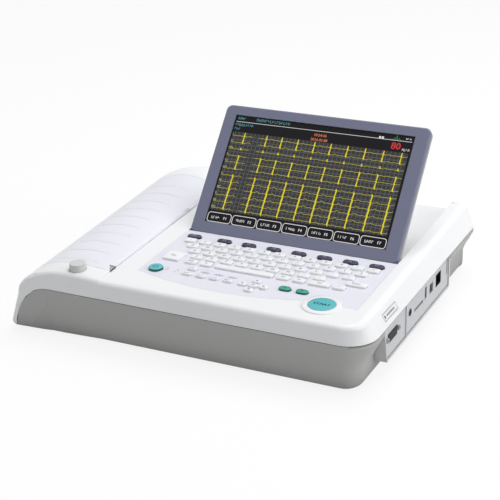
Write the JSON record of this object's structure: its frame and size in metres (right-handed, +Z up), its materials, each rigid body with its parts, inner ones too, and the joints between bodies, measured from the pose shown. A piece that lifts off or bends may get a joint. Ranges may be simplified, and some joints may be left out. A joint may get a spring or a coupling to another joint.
{
  "type": "ecg machine",
  "caption": "Desktop electrocardiograph with a folding colour display, a full keyboard, a hinged paper cover on the left and lead and data sockets on the right.",
  "frame": {"origin": "middle of the footprint, on the surface that the feet stand on", "axes": "+Z up, +Y from the keyboard to the rear, +X to the lead sockets"},
  "size_m": [0.42, 0.36, 0.1989],
  "materials": {
    "white_shell": "fine matt",
    "grey_base": "fine matt",
    "panel_grey": "matt",
    "display_grey": "satin",
    "film": "matt film",
    "white_keys": "satin",
    "navy_keys": "satin",
    "teal_keys": "satin",
    "green_keys": "satin",
    "black": "matt",
    "dark_grey": "matt",
    "rubber": "matt",
    "steel": "plated",
    "tin": "satin",
    "brass": "turned",
    "glass": "polished",
    "lcd": "polished",
    "board": "solder mask",
    "paper": "printed paper",
    "gear_white": "moulded",
    "battery": "heat-shrink film"
  },
  "bodies": {
    "case": {"top_shell": "white_shell", "bottom_shell": "grey_base", "connector_panel": "panel_grey", "battery_cover": "grey_base", "rubber_feet": "rubber", "case_screws": "steel", "keyboard_panel": "film", "key_mat": "rubber", "keyboard_board": "board", "display_hinge_pins": "steel", "cover_hinge_pins": "steel", "release_spring": "steel", "latch_pin": "steel", "tear_bar": "steel", "printer_chassis": "dark_grey", "stepper_motor": "tin", "print_head": "tin", "head_springs": "steel", "main_board": "board", "power_supply": "tin", "battery_pack": "battery", "speaker": "dark_grey", "patient_socket": "black", "jack_posts": "steel", "signal_jack": "black", "card_socket": "tin", "data_sockets": "tin", "network_socket": "black", "mains_inlet": "black", "earth_post": "brass"},
    "display": {"display_front": "display_grey", "display_back": "display_grey", "display_panel": "lcd", "display_window": "glass", "display_hinge_caps": "dark_grey"},
    "cover": {"printer_cover": "white_shell"},
    "platen": {"platen_shaft": "steel", "platen_rubber": "rubber", "platen_gear": "gear_white"},
    "pinion": {"motor_pinion": "brass"},
    "roll": {"paper_roll": "paper", "roll_spindle": "dark_grey"},
    "release": {"release_button": "white_shell"},
    "latch": {"cover_latch": "dark_grey"},
    "rocker": {"mains_switch": "black"},
    "fuses": {"fuse_drawer": "dark_grey"},
    "power_button_body": {"power_button": "teal_keys"},
    "start_button_body": {"start_button": "teal_keys"},
    "escape_key_body": {"escape_key": "white_keys"},
    "function_keys_body": {"function_keys": "navy_keys"},
    "copy_keys_body": {"copy_keys": "green_keys"},
    "cursor_keys_body": {"cursor_keys": "white_keys"},
    "menu_keys_body": {"menu_keys": "white_keys"},
    "number_keys_body": {"number_keys": "white_keys"},
    "upper_letter_keys_body": {"upper_letter_keys": "white_keys"},
    "middle_letter_keys_body": {"middle_letter_keys": "white_keys"},
    "lower_letter_keys_body": {"lower_letter_keys": "white_keys"},
    "modifier_keys_body": {"modifier_keys": "white_keys"},
    "space_bar_body": {"space_bar": "white_keys"},
    "enter_key_body": {"enter_key": "white_keys"}
  },
  "joints": [
    {"name": "display_fold", "type": "hinge", "parent": "case", "child": "display", "pos_m": [0.058, -0.01886, 0.07064], "axis": [1, 0, 0], "range_deg": [-47, 0]},
    {"name": "cover_hinge", "type": "hinge", "parent": "case", "child": "cover", "pos_m": [-0.1962, -0.03, 0.048], "axis": [0, -1, 0], "range_deg": [0, 65]},
    {"name": "platen_spin", "type": "hinge", "parent": "cover", "child": "platen", "pos_m": [-0.101, 0, 0.0645], "axis": [0, 1, 0], "continuous": true},
    {"name": "pinion_spin", "type": "hinge", "parent": "case", "child": "pinion", "pos_m": [-0.101, 0.0785, 0.0515], "axis": [0, 1, 0], "continuous": true},
    {"name": "roll_spin", "type": "hinge", "parent": "case", "child": "roll", "pos_m": [-0.145, -0.036, 0.048], "axis": [0, 1, 0], "continuous": true},
    {"name": "release_press", "type": "slide", "parent": "case", "child": "release", "axis": [0, 0, 1], "range_m": [-0.003, 0], "stiffness_N_per_m": 400, "springref_m": 0.003, "deforming": ["release_spring"]},
    {"name": "latch_swing", "type": "hinge", "parent": "case", "child": "latch", "pos_m": [-0.116, -0.16, 0.061], "axis": [1, 0, 0], "range_deg": [0, 36]},
    {"name": "power_rocker", "type": "hinge", "parent": "case", "child": "rocker", "pos_m": [-0.126, 0.1628, 0.029], "axis": [-1, 0, 0], "range_deg": [0, 16]},
    {"name": "fuse_slide", "type": "slide", "parent": "case", "child": "fuses", "axis": [0, 1, 0], "range_m": [0, 0.012]},
    {"name": "power_button_press", "type": "slide", "parent": "case", "child": "power_button_body", "axis": [0, -0.0244, 0.9997], "range_m": [-0.0012, 0], "stiffness_N_per_m": 400, "springref_m": 0.002},
    {"name": "start_button_press", "type": "slide", "parent": "case", "child": "start_button_body", "axis": [0, -0.0244, 0.9997], "range_m": [-0.0012, 0], "stiffness_N_per_m": 400, "springref_m": 0.002},
    {"name": "escape_key_press", "type": "slide", "parent": "case", "child": "escape_key_body", "axis": [0, -0.0244, 0.9997], "range_m": [-0.0012, 0], "stiffness_N_per_m": 400, "springref_m": 0.002},
    {"name": "function_keys_press", "type": "slide", "parent": "case", "child": "function_keys_body", "axis": [0, -0.0244, 0.9997], "range_m": [-0.0012, 0], "stiffness_N_per_m": 400, "springref_m": 0.002},
    {"name": "copy_keys_press", "type": "slide", "parent": "case", "child": "copy_keys_body", "axis": [0, -0.0244, 0.9997], "range_m": [-0.0012, 0], "stiffness_N_per_m": 400, "springref_m": 0.002},
    {"name": "cursor_keys_press", "type": "slide", "parent": "case", "child": "cursor_keys_body", "axis": [0, -0.0244, 0.9997], "range_m": [-0.0012, 0], "stiffness_N_per_m": 400, "springref_m": 0.002},
    {"name": "menu_keys_press", "type": "slide", "parent": "case", "child": "menu_keys_body", "axis": [0, -0.0244, 0.9997], "range_m": [-0.0012, 0], "stiffness_N_per_m": 400, "springref_m": 0.002},
    {"name": "number_keys_press", "type": "slide", "parent": "case", "child": "number_keys_body", "axis": [0, -0.0244, 0.9997], "range_m": [-0.0012, 0], "stiffness_N_per_m": 400, "springref_m": 0.002},
    {"name": "upper_letter_keys_press", "type": "slide", "parent": "case", "child": "upper_letter_keys_body", "axis": [0, -0.0244, 0.9997], "range_m": [-0.0012, 0], "stiffness_N_per_m": 400, "springref_m": 0.002},
    {"name": "middle_letter_keys_press", "type": "slide", "parent": "case", "child": "middle_letter_keys_body", "axis": [0, -0.0244, 0.9997], "range_m": [-0.0012, 0], "stiffness_N_per_m": 400, "springref_m": 0.002},
    {"name": "lower_letter_keys_press", "type": "slide", "parent": "case", "child": "lower_letter_keys_body", "axis": [0, -0.0244, 0.9997], "range_m": [-0.0012, 0], "stiffness_N_per_m": 400, "springref_m": 0.002},
    {"name": "modifier_keys_press", "type": "slide", "parent": "case", "child": "modifier_keys_body", "axis": [0, -0.0244, 0.9997], "range_m": [-0.0012, 0], "stiffness_N_per_m": 400, "springref_m": 0.002},
    {"name": "space_bar_press", "type": "slide", "parent": "case", "child": "space_bar_body", "axis": [0, -0.0244, 0.9997], "range_m": [-0.0012, 0], "stiffness_N_per_m": 400, "springref_m": 0.002},
    {"name": "enter_key_press", "type": "slide", "parent": "case", "child": "enter_key_body", "axis": [0, -0.0244, 0.9997], "range_m": [-0.0012, 0], "stiffness_N_per_m": 400, "springref_m": 0.002}
  ],
  "couplings": [
    {"joint": "pinion_spin", "follows": "platen_spin", "ratio": -1.6667},
    {"joint": "latch_swing", "follows": "release_press", "rad_per_m": -200}
  ]
}
